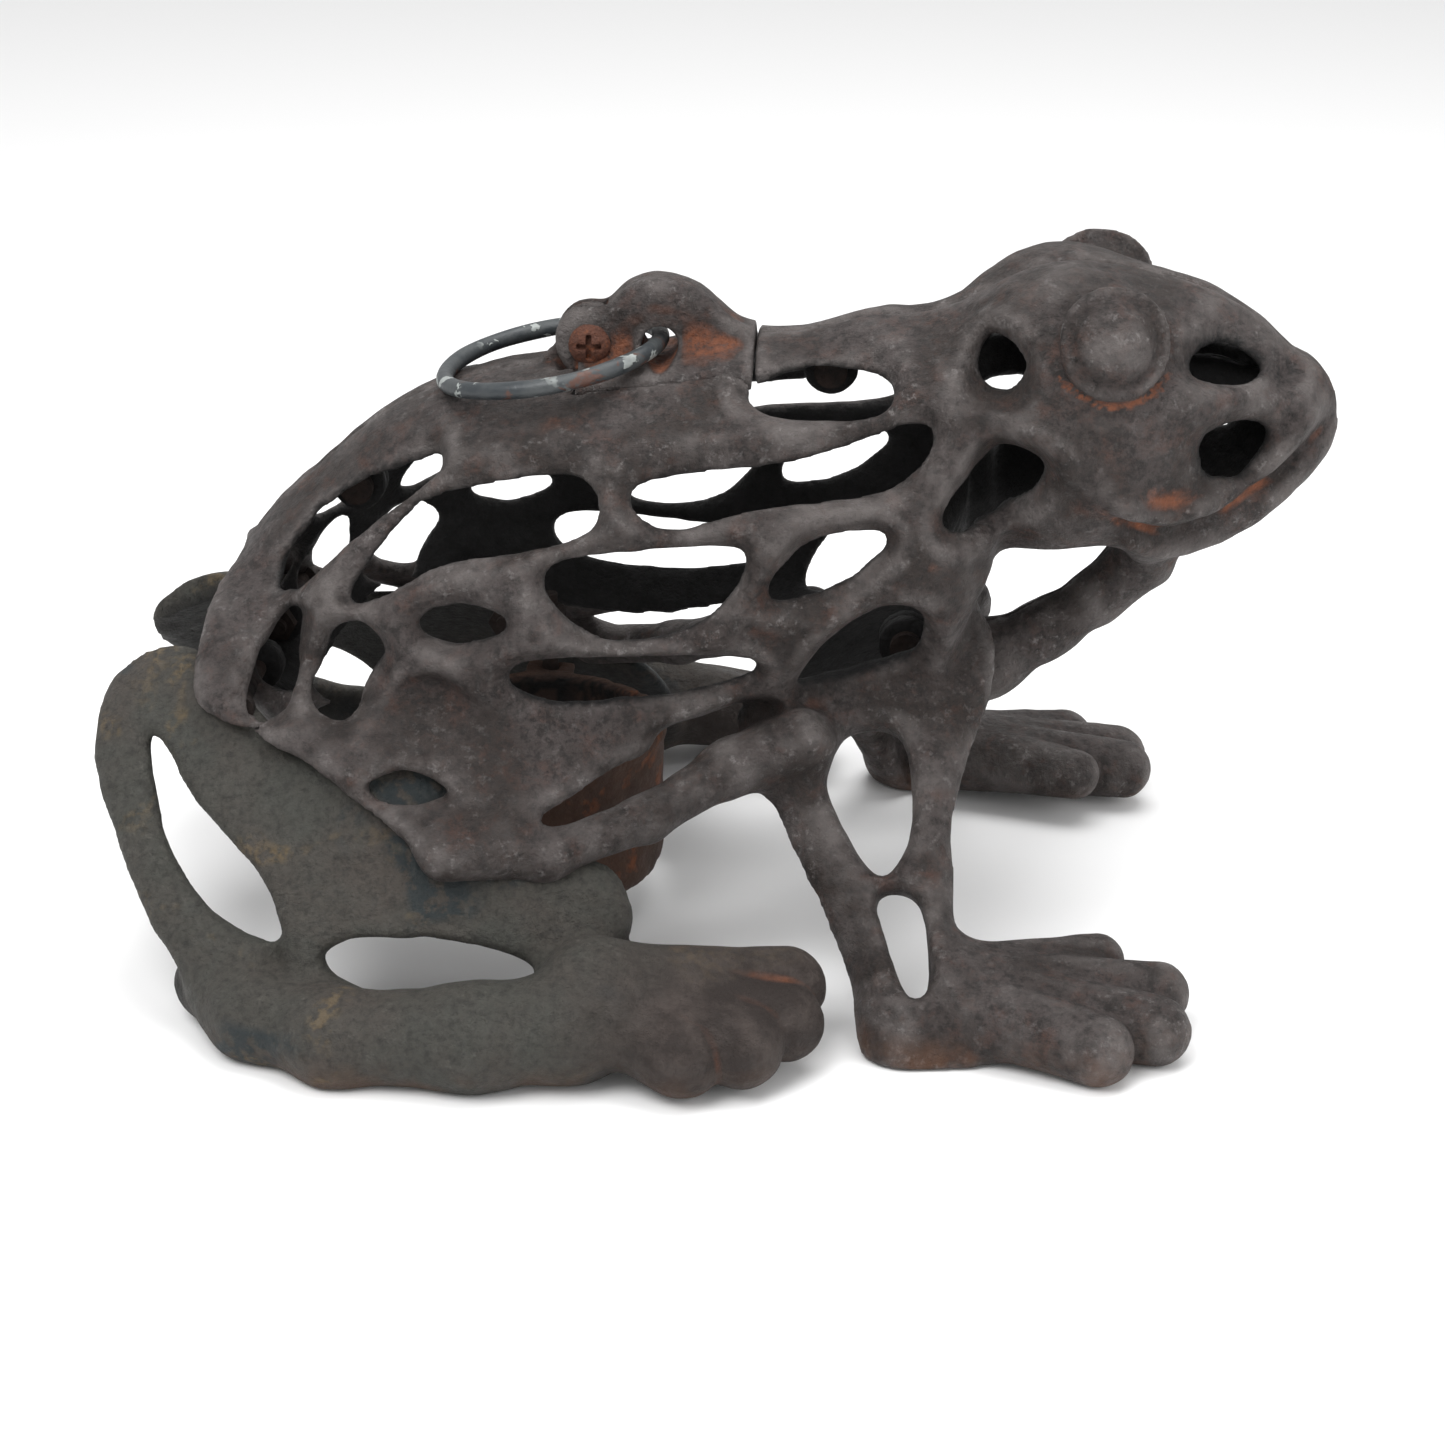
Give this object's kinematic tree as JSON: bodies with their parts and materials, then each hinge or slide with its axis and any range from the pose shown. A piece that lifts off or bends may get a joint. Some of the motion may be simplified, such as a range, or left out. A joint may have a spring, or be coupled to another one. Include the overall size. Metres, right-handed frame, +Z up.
{
  "type": "frog lantern",
  "caption": "Pierced cast-iron frog candle lantern with a hinged back hatch, a lifting ring and a candle cup hung between splayed legs.",
  "frame": {"origin": "centre of the bounding box's base, on the surface the soles stand on", "axes": "+X towards the nose, +Y towards the frog's left, +Z up"},
  "size_m": [0.286, 0.2178, 0.163],
  "materials": {
    "brown_iron": "weathered brown-grey cast iron, fine sand-cast grain, rust in the hollows",
    "green_iron": "weathered cast iron with worn green-grey paint",
    "rust_iron": "rusted cast iron",
    "rusty_steel": "rusted steel fasteners",
    "ring_paint": "chipped blue-black paint on steel wire"
  },
  "bodies": {
    "casing": {"shell_right": "brown_iron", "shell_left": "brown_iron", "head_right": "brown_iron", "head_left": "brown_iron", "front_leg_right": "brown_iron", "front_leg_left": "brown_iron", "haunch_right": "green_iron", "haunch_left": "green_iron", "rear_foot_right": "green_iron", "rear_foot_left": "green_iron", "hinge_screw": "rusty_steel", "hinge_nut": "rusty_steel", "candle_cup": "rust_iron", "cup_screws": "rusty_steel", "cup_nuts": "rusty_steel", "casing_screws": "rusty_steel", "casing_nuts": "rusty_steel", "haunch_screws": "rusty_steel", "haunch_nuts": "rusty_steel"},
    "hatch_lid": {"hatch": "brown_iron"},
    "ring": {"lifting_ring": "ring_paint"}
  },
  "joints": [
    {"name": "hatch_hinge", "type": "hinge", "parent": "casing", "child": "hatch_lid", "pos_m": [-0.03, 0, 0.142], "axis": [0, -1, 0], "range_deg": [0, 100]},
    {"name": "ring_swing", "type": "hinge", "parent": "hatch_lid", "child": "ring", "pos_m": [-0.014, 0, 0.142], "axis": [0, 1, 0], "range_deg": [0, 160]}
  ],
  "couplings": [
    {"joint": "ring_swing", "follows": "hatch_hinge", "ratio": 1.6}
  ]
}
